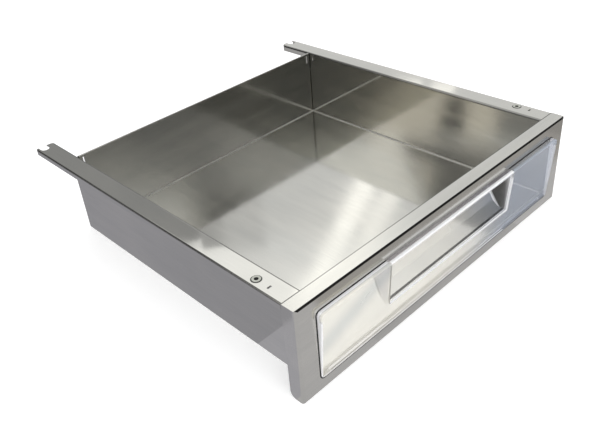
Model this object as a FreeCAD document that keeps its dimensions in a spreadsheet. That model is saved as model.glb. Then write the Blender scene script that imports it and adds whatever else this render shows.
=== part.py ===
import FreeCAD, Part
import math
import os
import re
import Sketcher

# Lift-out drawer folded from stainless sheet, with a clear moulded front insert.
# X runs to the right, Y to the rear and Z up.  While it is drawn, Y = 0 is the front
# plane of the fascia and Z = 0 is the surface that the drawer rests on.

SIZES = {
    # overall sizes
    "body_width": 500.0,
    "body_height": 125.0,
    "rail_length": 510.0,
    "sheet": 1.2,
    "play": 0.1,
    # tray
    "wall_inset": 26.3,
    "wall_length": 464.0,
    "tray_depth": 442.5,
    "floor_height": 18.0,
    "floor_setback": 5.6,
    "floor_bend": 2.4,
    "seam_fill": 2.7,
    "seam_edge": 0.5,
    "seam_height": 2.4,
    "seam_round": 1.9,
    "foot_flange": 12.0,
    "weld_flange": 16.0,
    "flange_margin": 6.0,
    # rails
    "rail_bend": 3.0,
    "lip_drop": 7.5,
    "lip_bend": 2.0,
    "arm_leg": 9.5,
    "arm_corner": 7.0,
    "prong_corner": 3.0,
    "leg_corner": 4.0,
    "pin_inset": 10.0,
    "notch_width": 12.0,
    "notch_depth": 13.5,
    "pin_setback": 64.0,
    "slit_setback": 45.0,
    "slit_length": 5.5,
    "slit_width": 2.4,
    # bushes in the rails
    "bush_hole": 10.4,
    "bush_rim": 12.4,
    "bush_rim_height": 0.6,
    "bush_rim_slope": 1.3,
    "bush_bore": 4.4,
    "bush_length": 4.0,
    "bush_clip": 0.5,
    # back panel
    "back_flange": 19.5,
    "hem_height": 12.0,
    "hem_gap": 0.3,
    "corner_slot_width": 2.4,
    "corner_slot_height": 13.2,
    "corner_slot_inset": 6.0,
    "corner_slot_bridge": 3.6,
    "flange_drop": 30.0,
    "relief_depth": 3.0,
    "relief_height": 1.6,
    "back_foot": 12.0,
    # fascia
    "top_flange": 19.0,
    "seam_gap": 0.3,
    "bottom_return": 10.0,
    "front_bend": 4.0,
    "edge_bend": 2.0,
    "return_corner": 8.0,
    "window_side": 26.0,
    "window_top": 17.5,
    "window_bottom": 15.0,
    "window_corner": 6.0,
    # clear insert and its gasket
    "gasket_wall": 1.0,
    "gasket_proud": 0.5,
    "insert_wall": 2.4,
    "insert_proud_top": 8.0,
    "insert_proud_foot": 1.5,
    "insert_round": 2.2,
    "insert_flange": 8.0,
    "insert_flange_end": 14.0,
    # finger pull moulded in the insert
    "pull_width": 236.0,
    "pull_foot": 48.0,
    "pull_heel_depth": 9.0,
    "pull_heel_height": 5.0,
    "pull_crease_depth": 14.0,
    "pull_crease_height": 11.0,
    "pull_roof_depth": 38.0,
    "pull_draft": 12.0,
    "pull_round": 10.0,
    "pull_corner": 4.0,
    # clamp strips with their studs, washers and nuts
    "clamp_gap": 8.0,
    "stud_drop": 6.4,
    "stud_inset": 14.0,
    "stud_size": 3.0,
    "stud_length": 9.0,
    "washer_size": 6.0,
    "washer_height": 0.5,
    "nut_size": 5.5,
    "nut_height": 2.4,
    # hook strip under the insert
    "hook_foot": 4.0,
    # stiffeners under the floor
    "rib_crown": 40.0,
    "rib_flange": 14.0,
    "rib_height": 10.5,
    "rib_end": 18.0,
    "front_rib": 145.0,
    "rear_rib": 300.0,
}

FAR = 2000.0            # longer than the drawer, for cuts that go right through
NEAR = 0.01             # how close an edge lies to the place it is looked for
FLAT_TO_CORNER = 1 / math.sqrt(3)   # a nut's corner radius over its width across flats

HALF_WIDTH = "body_width / 2"
WALL_IN = f"({HALF_WIDTH} - wall_inset - sheet)"
WALL_OUT = f"({HALF_WIDTH} - wall_inset)"
PIN_LINE = f"({HALF_WIDTH} - pin_inset)"
FASCIA_BACK = "(sheet + play)"
INSERT_HALF = f"({HALF_WIDTH} - window_side - gasket_wall - play)"
INSERT_TOP = "(body_height - window_top - gasket_wall - play)"
INSERT_FOOT = "(window_bottom + gasket_wall + play)"
FLANGE_BACK = f"({FASCIA_BACK} + insert_wall)"
PULL_ROOF = f"({INSERT_TOP} - insert_wall)"
STUD_HEIGHT = "(body_height - stud_drop)"

doc = FreeCAD.newDocument("drawer")
sizes = doc.addObject("Spreadsheet::Sheet", "Sizes")


def fill_sheet():
    """Write each driving size and its alias in the sheet."""
    for row, (alias, size) in enumerate(SIZES.items(), start=1):
        sizes.set(f"A{row}", alias)
        sizes.set(f"B{row}", str(size))
        sizes.setAlias(f"B{row}", alias)
    doc.recompute()


def bound(expression):
    """Name the sheet in front of each alias of an expression."""
    return re.sub(r"[a-z][a-z_]*", lambda word: "Sizes." + word.group(), expression)


def number(expression):
    """The value of an expression of the sheet's aliases."""
    return float(sizes.evalExpression(expression))


def set_size(thing, slot, expression):
    """Bind one property of an object to the sheet."""
    thing.setExpression(slot, bound(expression))


def new_body(label):
    body = doc.addObject("PartDesign::Body", label)
    body.Label = label
    return body


def new_sketch(body, role, name, offset=None):
    """An empty sketch on one of the body's own planes, moved along its normal."""
    sketch = body.newObject("Sketcher::SketchObject", name)
    plane = next(item for item in body.Origin.OriginFeatures if item.Role == role)
    sketch.AttachmentSupport = (plane, [""])
    sketch.MapMode = "FlatFace"
    if offset:
        set_size(sketch, "AttachmentOffset.Base.z", offset)
    return sketch


def tie(sketch, kind, where, expression):
    """Add one size to a sketch and bind it to the sheet."""
    index = sketch.addConstraint(Sketcher.Constraint(kind, *where, number(expression)))
    set_size(sketch, f"Constraints[{index}]", expression)


def draw_outline(sketch, points):
    """A closed outline of straight lines through points, each one tied to the sheet."""
    first = sketch.GeometryCount
    places = [FreeCAD.Vector(number(across), number(up), 0) for across, up in points]
    count = len(places)
    for index, place in enumerate(places):
        sketch.addGeometry(Part.LineSegment(place, places[(index + 1) % count]))
    for index in range(count):
        following = first + (index + 1) % count
        sketch.addConstraint(Sketcher.Constraint("Coincident", first + index, 2, following, 1))
    for index, (across, up) in enumerate(points):
        tie(sketch, "DistanceX", (-1, 1, first + index, 1), across)
        tie(sketch, "DistanceY", (-1, 1, first + index, 1), up)


def draw_circle(sketch, across, up, diameter):
    """A circle whose centre and size are tied to the sheet."""
    centre = FreeCAD.Vector(number(across), number(up), 0)
    radius = number(diameter) / 2
    index = sketch.addGeometry(Part.Circle(centre, FreeCAD.Vector(0, 0, 1), radius))
    tie(sketch, "DistanceX", (-1, 1, index, 3), across)
    tie(sketch, "DistanceY", (-1, 1, index, 3), up)
    tie(sketch, "Diameter", (index,), diameter)


def draw_rounded_box(sketch, points, radius):
    """A rectangle with round corners, through the corner points of its sharp form."""
    low_across, low_up = points[0]
    high_across, high_up = points[2]
    left, right = number(low_across), number(high_across)
    bottom, top = number(low_up), number(high_up)
    size = number(radius)
    corners = [(right - size, bottom + size, -90), (right - size, top - size, 0),
               (left + size, top - size, 90), (left + size, bottom + size, 180)]
    ends = [(left + size, bottom, right - size, bottom), (right, bottom + size, right, top - size),
            (right - size, top, left + size, top), (left, top - size, left, bottom + size)]
    for start_across, start_up, end_across, end_up in ends:
        sketch.addGeometry(Part.LineSegment(FreeCAD.Vector(start_across, start_up, 0),
                                            FreeCAD.Vector(end_across, end_up, 0)))
    for across, up, start in corners:
        circle = Part.Circle(FreeCAD.Vector(across, up, 0), FreeCAD.Vector(0, 0, 1), size)
        sketch.addGeometry(Part.ArcOfCircle(circle, math.radians(start), math.radians(start + 90)))
    for line in range(4):
        arc = line + 4
        sketch.addConstraint(Sketcher.Constraint("Tangent", line, 2, arc, 1))
        sketch.addConstraint(Sketcher.Constraint("Tangent", arc, 2, (line + 1) % 4, 1))
        if line % 2 == 0:
            sketch.addConstraint(Sketcher.Constraint("Horizontal", line))
        else:
            sketch.addConstraint(Sketcher.Constraint("Vertical", line))
        if line:
            sketch.addConstraint(Sketcher.Constraint("Equal", 4, arc))
    tie(sketch, "Radius", (4,), radius)
    tie(sketch, "DistanceY", (-1, 1, 0, 1), low_up)
    tie(sketch, "DistanceX", (-1, 1, 1, 1), high_across)
    tie(sketch, "DistanceY", (-1, 1, 2, 1), high_up)
    tie(sketch, "DistanceX", (-1, 1, 3, 1), low_across)


def draw_corner(sketch, across, up, step_across, step_up, radius):
    """The waste outside a quarter round at a corner; the steps (1 or -1) point into the piece."""
    along = (f"{across} + {step_across} * {radius}", up)
    upward = (across, f"{up} + {step_up} * {radius}")
    outside = (f"{across} - {step_across} * play", f"{up} - {step_up} * play")
    places = [FreeCAD.Vector(number(first), number(second), 0) for first, second in (along, outside, upward)]
    sketch.addGeometry(Part.LineSegment(places[0], places[1]))
    sketch.addGeometry(Part.LineSegment(places[1], places[2]))
    sketch.addConstraint(Sketcher.Constraint("Coincident", 0, 2, 1, 1))
    for index, vertex, place in ((0, 1, along), (1, 1, outside), (1, 2, upward)):
        tie(sketch, "DistanceX", (-1, 1, index, vertex), place[0])
        tie(sketch, "DistanceY", (-1, 1, index, vertex), place[1])
    centre = FreeCAD.Vector(places[0].x, places[2].y, 0)
    size = number(radius)
    middle = centre - FreeCAD.Vector(step_across, step_up, 0) * (size / math.sqrt(2))
    arc = sketch.addGeometry(Part.Arc(places[2], middle, places[0]))
    flip = step_across * step_up < 0
    sketch.addConstraint(Sketcher.Constraint("Coincident", arc, 2 if flip else 1, 1, 2))
    sketch.addConstraint(Sketcher.Constraint("Coincident", arc, 1 if flip else 2, 0, 1))
    tie(sketch, "Radius", (arc,), radius)


def round_off(body, name, across, up, step_across, step_up, radius):
    """Round a corner of the side profile all along the width of a piece."""
    sketch = new_sketch(body, "YZ_Plane", f"{name}_outline")
    draw_corner(sketch, across, up, step_across, step_up, radius)
    return cut(body, sketch, name)


def box_points(low_across, high_across, low_up, high_up):
    """The four corners of a rectangle."""
    return [(low_across, low_up), (high_across, low_up), (high_across, high_up), (low_across, high_up)]


def pad(body, sketch, name, length, both_ways=False, reverse=False):
    feature = body.newObject("PartDesign::Pad", name)
    feature.Profile = sketch
    feature.Midplane = both_ways
    feature.Reversed = reverse
    set_size(feature, "Length", length)
    doc.recompute()
    return feature


def cut(body, sketch, name, length=None, reverse=False):
    """Pocket a sketch: both ways right through, or one way to a length."""
    before = body.Shape.Volume
    feature = body.newObject("PartDesign::Pocket", name)
    feature.Profile = sketch
    feature.Reversed = reverse
    if length is None:
        feature.Midplane = True
        feature.Length = FAR
    else:
        set_size(feature, "Length", length)
    doc.recompute()
    if body.Shape.Volume >= before:
        raise RuntimeError(f"{name} removes nothing from {body.Label}")
    return feature


def edges_at(body, axis, places):
    """Names of the edges along an axis: the longest one that crosses it at each place."""
    across, up = [index for index in range(3) if index != "xyz".index(axis)]
    names = []
    for first, second in [(number(first), number(second)) for first, second in places]:
        found = []
        for index, edge in enumerate(body.Shape.Edges, start=1):
            ends = [vertex.Point for vertex in edge.Vertexes]
            if len(ends) == 2 and all(abs(end[across] - first) < NEAR and abs(end[up] - second) < NEAR
                                      for end in ends):
                found.append((edge.Length, f"Edge{index}"))
        if not found:
            raise RuntimeError(f"no edge of {body.Label} runs along {axis} at {first}, {second}")
        names.append(max(found)[1])
    return names


def round_edges(body, name, axis, places, radius):
    """Round the edges that run along an axis at the given places."""
    names = edges_at(body, axis, places)
    feature = body.newObject("PartDesign::Fillet", name)
    feature.Base = (feature.BaseFeature, names)
    set_size(feature, "Radius", radius)
    doc.recompute()
    return feature


def place(thing):
    """Stand the piece in the drawer's frame, whose origin is under its middle."""
    set_size(thing, "Placement.Base.y", "(insert_proud_top - rail_length) / 2")


# ---------------------------------------------------------------- tray


def side_panel(label, side):
    """One folded side: foot flange, wall, rail and lip, with the arm behind the tray.

    side is -1 for the left and 1 for the right.
    """
    body = new_body(label)
    top = "body_height"
    profile = [
        (f"{WALL_IN} - foot_flange", "0 * sheet"),
        (WALL_OUT, "0 * sheet"),
        (WALL_OUT, f"{top} - sheet"),
        (f"{HALF_WIDTH} - sheet", f"{top} - sheet"),
        (f"{HALF_WIDTH} - sheet", f"{top} - lip_drop"),
        (HALF_WIDTH, f"{top} - lip_drop"),
        (HALF_WIDTH, top),
        (WALL_IN, top),
        (WALL_IN, "sheet"),
        (f"{WALL_IN} - foot_flange", "sheet"),
    ]
    section = new_sketch(body, "XZ_Plane", "section", f"-{FASCIA_BACK}")
    draw_outline(section, [(f"{side} * ({across})", up) for across, up in profile])
    pad(body, section, "folded_sheet", f"rail_length - {FASCIA_BACK}", reverse=True)

    def at(across, up):
        return (f"{side} * ({across})", up)

    round_edges(body, "rail_bend_out", "y", [at(WALL_IN, top)], "rail_bend")
    round_edges(body, "rail_bend_in", "y", [at(WALL_OUT, f"{top} - sheet")], "rail_bend - sheet")
    round_edges(body, "lip_bend_out", "y", [at(HALF_WIDTH, top)], "lip_bend")
    round_edges(body, "lip_bend_in", "y", [at(f"{HALF_WIDTH} - sheet", f"{top} - sheet")],
                "lip_bend - sheet")
    round_edges(body, "foot_bend_out", "y", [at(WALL_OUT, "0 * sheet")], "floor_bend")
    round_edges(body, "foot_bend_in", "y", [at(WALL_IN, "sheet")], "floor_bend - sheet")

    below_arm = new_sketch(body, "YZ_Plane", "space_under_arm")
    draw_outline(below_arm, box_points("wall_length", "rail_length + wall_length",
                                       "-body_height", f"{top} - arm_leg"))
    cut(body, below_arm, "under_arm")

    round_off(body, "leg_corner", "rail_length", f"{top} - arm_leg", -1, 1, "leg_corner")
    for name, across, step in (("arm_corner", WALL_IN, side), ("prong_corner", HALF_WIDTH, -side)):
        corner = new_sketch(body, "XY_Plane", f"{name}_outline")
        draw_corner(corner, f"{side} * {across}", "rail_length", step, -1, name)
        cut(body, corner, name)

    under_strip = new_sketch(body, "YZ_Plane", "space_under_strip")
    draw_outline(under_strip, box_points("-top_flange", "top_flange + seam_gap",
                                         f"{top} - rail_bend", f"{top} + rail_bend"))
    cut(body, under_strip, "under_strip")

    behind_return = new_sketch(body, "XZ_Plane", "lip_behind_return")
    draw_outline(behind_return, [at(across, up) for across, up in box_points(
        f"{WALL_OUT} + sheet", "body_width", f"{top} - lip_drop - sheet", f"{top} + sheet")])
    cut(body, behind_return, "lip_start", "top_flange + seam_gap")

    over_return = new_sketch(body, "YZ_Plane", "space_over_return")
    draw_outline(over_return, box_points("-top_flange", "bottom_return + play",
                                         "-sheet", "sheet + play"))
    cut(body, over_return, "over_bottom_return")

    behind_foot = new_sketch(body, "XY_Plane", "space_behind_foot")
    draw_outline(behind_foot, [at(across, up) for across, up in box_points(
        f"{WALL_IN} - 2 * foot_flange", WALL_IN, "tray_depth - sheet - play", "rail_length + sheet")])
    cut(body, behind_foot, "foot_end", "floor_height", reverse=True)

    flange = new_sketch(body, "XY_Plane", "weld_flange_outline", "flange_margin")
    draw_outline(flange, [at(across, up) for across, up in box_points(
        WALL_IN, f"{WALL_OUT} + weld_flange", FASCIA_BACK, f"{FASCIA_BACK} + sheet")])
    pad(body, flange, "weld_flange", f"{top} - rail_bend - 2 * flange_margin")
    rail_cut_outs(body, at)
    return body


def rail_cut_outs(body, at):
    """The notch, hole and slit that hang the rail on its slide, all on one line."""
    tip = "rail_length"
    notch = new_sketch(body, "XY_Plane", "notch_outline")
    draw_outline(notch, [at(across, up) for across, up in box_points(
        f"{PIN_LINE} - notch_width / 2", f"{PIN_LINE} + notch_width / 2",
        f"{tip} - notch_depth + notch_width / 2", f"{tip} + notch_depth")])
    cut(body, notch, "notch")
    for name, setback, diameter in (("notch_end", f"{tip} - notch_depth + notch_width / 2", "notch_width"),
                                    ("bush_hole", "pin_setback", "bush_hole")):
        circle = new_sketch(body, "XY_Plane", f"{name}_outline", "body_height - rail_bend")
        draw_circle(circle, *at(PIN_LINE, setback), diameter)
        cut(body, circle, name, "2 * rail_bend", reverse=True)
    slit = new_sketch(body, "XY_Plane", "slit_outline")
    draw_outline(slit, [at(across, up) for across, up in box_points(
        f"{PIN_LINE} - slit_length / 2", f"{PIN_LINE} + slit_length / 2",
        "slit_setback - slit_width / 2", "slit_setback + slit_width / 2")])
    cut(body, slit, "slit")


def back_panel():
    """The back: a hemmed top, a foot turned forward and two flanges turned rearward."""
    body = new_body("back_panel")
    face = "tray_depth"
    top = "body_height"
    edge = f"({WALL_IN} - play)"
    hem = f"({face} + sheet + hem_gap)"
    profile = [
        (f"{face} - back_foot", "0 * sheet"),
        (f"{face} + sheet", "0 * sheet"),
        (f"{face} + sheet", f"{top} - sheet"),
        (hem, f"{top} - sheet"),
        (hem, f"{top} - hem_height"),
        (f"{hem} + sheet", f"{top} - hem_height"),
        (f"{hem} + sheet", top),
        (face, top),
        (face, "sheet"),
        (f"{face} - back_foot", "sheet"),
    ]
    section = new_sketch(body, "YZ_Plane", "section")
    draw_outline(section, profile)
    pad(body, section, "folded_sheet", f"2 * {edge}", both_ways=True)
    round_edges(body, "hem_bend", "x", [(face, top), (f"{hem} + sheet", top)], "sheet")
    round_edges(body, "foot_bend_out", "x", [(f"{face} + sheet", "0 * sheet")], "floor_bend")
    round_edges(body, "foot_bend_in", "x", [(face, "sheet")], "floor_bend - sheet")
    flange_top = f"({top} - flange_drop)"
    for side, name in ((-1, "left"), (1, "right")):
        def at(points, side=side):
            return [(f"{side} * ({across})", up) for across, up in points]

        foot = new_sketch(body, "XY_Plane", f"{name}_foot_outline")
        draw_outline(foot, at(box_points(f"{WALL_IN} - foot_flange - play - sheet", f"{WALL_IN} + sheet",
                                         f"{face} - 2 * back_foot", f"{face} + 2 * sheet")))
        cut(body, foot, f"{name}_foot_cut", "flange_margin", reverse=True)
        flange = new_sketch(body, "XY_Plane", f"{name}_flange_outline", "flange_margin")
        draw_outline(flange, at(box_points(f"{edge} - sheet", edge, face,
                                           f"{face} + sheet + back_flange")))
        pad(body, flange, f"{name}_flange", f"{flange_top} - flange_margin")
        relief = new_sketch(body, "XZ_Plane", f"{name}_relief_outline")
        draw_outline(relief, at(box_points(f"{edge} - relief_depth", f"{edge} + sheet",
                                           flange_top, f"{flange_top} + relief_height")))
        cut(body, relief, f"{name}_relief")
        slot = new_sketch(body, "XZ_Plane", f"{name}_slot_outline")
        slot_side = f"{edge} - corner_slot_inset"
        slot_top = f"{top} - corner_slot_bridge"
        draw_outline(slot, at(box_points(f"{slot_side} - corner_slot_width", slot_side,
                                         f"{slot_top} - corner_slot_height", slot_top)))
        cut(body, slot, f"{name}_slot")
        round_edges(body, f"{name}_flange_bend_out", "z", at([(edge, face)]), "floor_bend")
        round_edges(body, f"{name}_flange_bend_in", "z", at([(f"{edge} - sheet", f"{face} + sheet")]),
                    "floor_bend - sheet")
    return body


def seam_points(width):
    """The outline of a band along the two sides and the rear of the floor."""
    edge = f"({WALL_IN} - play)"
    front = "(floor_setback + floor_bend)"
    rear = "(tray_depth - play)"
    return [
        (f"-{edge}", front),
        (f"-{edge} + {width}", front),
        (f"-{edge} + {width}", f"{rear} - {width}"),
        (f"{edge} - {width}", f"{rear} - {width}"),
        (f"{edge} - {width}", front),
        (edge, front),
        (edge, rear),
        (f"-{edge}", rear),
    ]


def wall_seam(body):
    """The welded seam to the walls, filled over the bends and dressed to a hollow round."""
    fill = new_sketch(body, "XY_Plane", "seam_fill_outline", "floor_height - floor_bend")
    draw_outline(fill, seam_points("seam_fill"))
    pad(body, fill, "seam_fill", "floor_bend")
    upstand = new_sketch(body, "XY_Plane", "seam_outline", "floor_height")
    draw_outline(upstand, seam_points("seam_edge"))
    pad(body, upstand, "seam_upstand", "seam_height")
    side = f"({WALL_IN} - play - seam_edge)"
    names = edges_at(body, "y", [(f"-{side}", "floor_height"), (side, "floor_height")])
    names += edges_at(body, "x", [("tray_depth - play - seam_edge", "floor_height")])
    hollow = body.newObject("PartDesign::Fillet", "seam_hollow")
    hollow.Base = (hollow.BaseFeature, names)
    set_size(hollow, "Radius", "seam_round")
    doc.recompute()


def floor_panel():
    """The floor, with all four edges turned down to the foot flanges."""
    body = new_body("floor_panel")
    edge = f"({WALL_IN} - play)"
    foot = "(floor_bend + play)"
    front = "floor_setback"
    rear = "(tray_depth - play)"
    outline = new_sketch(body, "XY_Plane", "outline", foot)
    draw_outline(outline, box_points(f"-{edge}", edge, front, rear))
    pad(body, outline, "block", f"floor_height - {foot}")
    round_edges(body, "corner_bends", "z",
                [(f"{side} * {edge}", where) for side in (-1, 1) for where in (front, rear)],
                "floor_bend")
    rim = body.newObject("PartDesign::Fillet", "edge_bends")
    rim.Base = (rim.BaseFeature, rim_edges(rim.BaseFeature, 2, number("floor_height")))
    set_size(rim, "Radius", "floor_bend")
    doc.recompute()
    under = face_at(body, 2, number(foot))
    shell = body.newObject("PartDesign::Thickness", "folded_sheet")
    shell.Base = (rim, [under])
    shell.Reversed = True
    shell.Join = 1
    set_size(shell, "Value", "sheet")
    doc.recompute()
    wall_seam(body)
    return body


def rim_edges(feature, axis, level):
    """Names of the edges that lie wholly at a level of an axis."""
    names = []
    for index, edge in enumerate(feature.Shape.Edges, start=1):
        box = edge.BoundBox
        low, high = (box.XMin, box.YMin, box.ZMin)[axis], (box.XMax, box.YMax, box.ZMax)[axis]
        if abs(low - level) < NEAR and abs(high - level) < NEAR:
            names.append(f"Edge{index}")
    return names


def face_at(body, axis, level):
    """Name of the largest flat face that lies at a level of an axis."""
    found = []
    for index, face in enumerate(body.Shape.Faces, start=1):
        box = face.BoundBox
        low, high = (box.XMin, box.YMin, box.ZMin)[axis], (box.XMax, box.YMax, box.ZMax)[axis]
        if abs(low - level) < NEAR and abs(high - level) < NEAR:
            found.append((face.Area, f"Face{index}"))
    return max(found)[1]


def floor_stiffener(label, setback):
    """A hat section across the underside of the floor."""
    body = new_body(label)
    under = "(floor_height - sheet - play)"
    crown = f"({under} - rib_height)"
    half = "rib_crown / 2"
    profile = [
        (f"{setback} - {half} - rib_flange", f"{under} - sheet"),
        (f"{setback} - {half}", f"{under} - sheet"),
        (f"{setback} - {half}", crown),
        (f"{setback} + {half}", crown),
        (f"{setback} + {half}", f"{under} - sheet"),
        (f"{setback} + {half} + rib_flange", f"{under} - sheet"),
        (f"{setback} + {half} + rib_flange", under),
        (f"{setback} + {half} - sheet", under),
        (f"{setback} + {half} - sheet", f"{crown} + sheet"),
        (f"{setback} - {half} + sheet", f"{crown} + sheet"),
        (f"{setback} - {half} + sheet", under),
        (f"{setback} - {half} - rib_flange", under),
    ]
    section = new_sketch(body, "YZ_Plane", "section")
    draw_outline(section, profile)
    pad(body, section, "folded_sheet", f"2 * ({WALL_IN} - rib_end)", both_ways=True)
    round_edges(body, "crown_bends", "x",
                [(f"{setback} - {half}", crown), (f"{setback} + {half}", crown)], "floor_bend")
    return body


# ---------------------------------------------------------------- fascia


def fascia_frame():
    """The front frame: a window, a top flange, two side returns and a bottom return."""
    body = new_body("fascia_frame")
    top = "body_height"
    ground = "0 * sheet"
    outline = new_sketch(body, "XZ_Plane", "outline")
    draw_outline(outline, box_points(f"-{HALF_WIDTH}", HALF_WIDTH, ground, top))
    pad(body, outline, "block", "top_flange", reverse=True)
    round_edges(body, "side_bends", "z", [(f"-{HALF_WIDTH}", ground), (HALF_WIDTH, ground)], "front_bend")
    shell = body.newObject("PartDesign::Thickness", "folded_sheet")
    shell.Base = (shell.BaseFeature, [face_at(body, 1, number("top_flange"))])
    shell.Reversed = True
    shell.Join = 1
    set_size(shell, "Value", "sheet")
    doc.recompute()
    behind_return = new_sketch(body, "XY_Plane", "behind_bottom_return")
    draw_outline(behind_return, box_points(f"-{HALF_WIDTH} + sheet", f"{HALF_WIDTH} - sheet",
                                           "bottom_return", "2 * top_flange"))
    cut(body, behind_return, "bottom_return_edge", "2 * sheet", reverse=True)
    round_off(body, "return_corners", "top_flange", ground, -1, 1, "return_corner")
    round_off(body, "top_bend", ground, top, 1, -1, "edge_bend")
    round_off(body, "bottom_bend", ground, ground, 1, 1, "edge_bend")
    window = new_sketch(body, "XZ_Plane", "window_outline")
    draw_rounded_box(window, window_points(), "window_corner")
    cut(body, window, "window", "2 * sheet")
    return body


def window_points(inset="0 * sheet"):
    """The corners of the window, or of an outline that lies inside it by an inset."""
    side = f"({HALF_WIDTH} - window_side - {inset})"
    return box_points(f"-{side}", side, f"window_bottom + {inset}", f"body_height - window_top - {inset}")


def window_gasket():
    """The black seal between the frame and the insert, open over the finger pull."""
    body = new_body("window_gasket")
    outline = new_sketch(body, "XZ_Plane", "outline", "gasket_proud")
    draw_rounded_box(outline, window_points(), "window_corner")
    pad(body, outline, "block", "gasket_proud + sheet", reverse=True)
    inner = new_sketch(body, "XZ_Plane", "opening_outline")
    draw_rounded_box(inner, window_points("gasket_wall"), "window_corner - gasket_wall")
    cut(body, inner, "opening")
    over_pull = new_sketch(body, "XZ_Plane", "gap_over_pull")
    high = "(body_height - window_top)"
    draw_outline(over_pull, box_points("-pull_width / 2", "pull_width / 2",
                                       f"{high} - 2 * gasket_wall", f"{high} + gasket_wall"))
    cut(body, over_pull, "pull_gap")
    return body


def slanted_block(body, name, half_width, points):
    """A block of one side profile, centred on the drawer's middle."""
    sketch = new_sketch(body, "YZ_Plane", f"{name}_section")
    draw_outline(sketch, points)
    return pad(body, sketch, name, f"2 * {half_width}", both_ways=True)


def draft_sides(body, name, half_width, front, depth, draft):
    """Cut both ends of a block so that it narrows towards the rear."""
    for side, word in ((-1, "left"), (1, "right")):
        sketch = new_sketch(body, "XY_Plane", f"{word}_{name}_outline")
        draw_outline(sketch, [(f"{side} * ({half_width})", front),
                              (f"{side} * ({half_width} + pull_width)", front),
                              (f"{side} * ({half_width} + pull_width)", f"{front} + 2 * ({depth})"),
                              (f"{side} * ({half_width} - 2 * {draft})", f"{front} + 2 * ({depth})")])
        cut(body, sketch, f"{word}_{name}")


def pull_core():
    """The space for the fingers: a rim, a rounded heel, a crease and a leaning back."""
    body = new_body("pull_core")
    front = "-2 * insert_proud_top"
    slanted_block(body, "finger_space", "pull_width / 2", [
        (front, "pull_foot"),
        ("-insert_proud_foot", "pull_foot"),
        ("pull_heel_depth", "pull_foot + pull_heel_height"),
        ("pull_crease_depth", "pull_foot + pull_crease_height"),
        ("pull_roof_depth", PULL_ROOF),
        (front, PULL_ROOF),
    ])
    round_edges(body, "heel_round", "x",
                [("pull_heel_depth", "pull_foot + pull_heel_height")], "pull_corner")
    round_edges(body, "roof_round", "x", [("pull_roof_depth", PULL_ROOF)], "pull_round")
    draft_sides(body, "draft", "pull_width / 2", "-insert_proud_top",
                "pull_roof_depth + insert_proud_top", "pull_draft")
    return body


def insert_bezel():
    """The outside of the clear moulding: a slanted bezel and the flanges behind the frame."""
    body = new_body("insert_bezel")
    slanted_block(body, "bezel", INSERT_HALF, [
        ("-insert_proud_foot", INSERT_FOOT),
        ("sheet", INSERT_FOOT),
        ("sheet", INSERT_TOP),
        ("-insert_proud_top", INSERT_TOP),
    ])
    round_edges(body, "bezel_corners", "y",
                [(f"{side} * {INSERT_HALF}", level) for side in (-1, 1)
                 for level in (INSERT_FOOT, INSERT_TOP)], "window_corner - gasket_wall")
    rim = body.newObject("PartDesign::Fillet", "bezel_edge")
    rim.Base = (rim.BaseFeature, front_edges(rim.BaseFeature))
    set_size(rim, "Radius", "insert_round")
    doc.recompute()
    slanted_block(body, "flanges", f"({INSERT_HALF} - insert_flange_end)", [
        ("sheet", INSERT_FOOT),
        (FASCIA_BACK, f"{INSERT_FOOT} - insert_flange"),
        (FLANGE_BACK, f"{INSERT_FOOT} - insert_flange"),
        (FLANGE_BACK, f"{INSERT_TOP} + insert_flange"),
        (FASCIA_BACK, f"{INSERT_TOP} + insert_flange"),
        ("sheet", INSERT_TOP),
    ])
    return body


def pull_block():
    """The outside of the finger pull, behind the panes."""
    body = new_body("pull_block")
    wall = "insert_wall"
    slanted_block(body, "block", f"(pull_width / 2 + {wall})", [
        (f"-insert_proud_foot + {wall} / 2", f"pull_foot - {wall}"),
        (f"pull_heel_depth + {wall} / 2", f"pull_foot + pull_heel_height - {wall}"),
        (f"pull_crease_depth + {wall}", f"pull_foot + pull_crease_height - {wall} / 2"),
        (f"pull_roof_depth + {wall}", INSERT_TOP),
        (f"-insert_proud_top + {wall}", INSERT_TOP),
    ])
    round_edges(body, "roof_round", "x", [(f"pull_roof_depth + {wall}", INSERT_TOP)],
                "pull_round + insert_wall")
    draft_sides(body, "draft", f"pull_width / 2 + {wall}", "-insert_proud_top",
                "pull_roof_depth + insert_proud_top", "pull_draft")
    return body


def front_edges(feature):
    """Names of the edges of a bezel that bound its slanted front face."""
    facing = [face for face in feature.Shape.Faces if face.normalAt(0, 0).y < -0.9]
    front = max(facing, key=lambda face: face.Area)
    wanted = [edge.CenterOfMass for edge in front.Edges]
    names = []
    for index, edge in enumerate(feature.Shape.Edges, start=1):
        if any(edge.CenterOfMass.distanceToPoint(place) < NEAR for place in wanted):
            names.append(f"Edge{index}")
    return names


def rear_core():
    """The space behind the panes, which leaves the bezel a shell that is open to the tray."""
    body = new_body("rear_core")
    wall = "insert_wall"
    slanted_block(body, "pane_space", f"({INSERT_HALF} - {wall})", [
        (f"-insert_proud_foot + {wall}", f"{INSERT_FOOT} + {wall}"),
        ("2 * pull_roof_depth", f"{INSERT_FOOT} + {wall}"),
        ("2 * pull_roof_depth", f"{INSERT_TOP} - {wall}"),
        (f"-insert_proud_top + {wall}", f"{INSERT_TOP} - {wall}"),
    ])
    return body


def boolean(kind, label, base, tool):
    """Cut or join two shapes as one object of the document."""
    feature = doc.addObject(f"Part::{kind}", label)
    feature.Label = label
    feature.Base = base
    feature.Tool = tool
    doc.recompute()
    return feature


def window_insert():
    """The clear moulding: a bezel with two panes, flanges behind the frame and a finger pull."""
    bezel = boolean("Cut", "open_bezel", insert_bezel(), rear_core())
    moulding = boolean("Fuse", "bezel_and_pull", bezel, pull_block())
    return boolean("Cut", "window_insert", moulding, pull_core())


# ---------------------------------------------------------------- fixings of the insert


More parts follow.
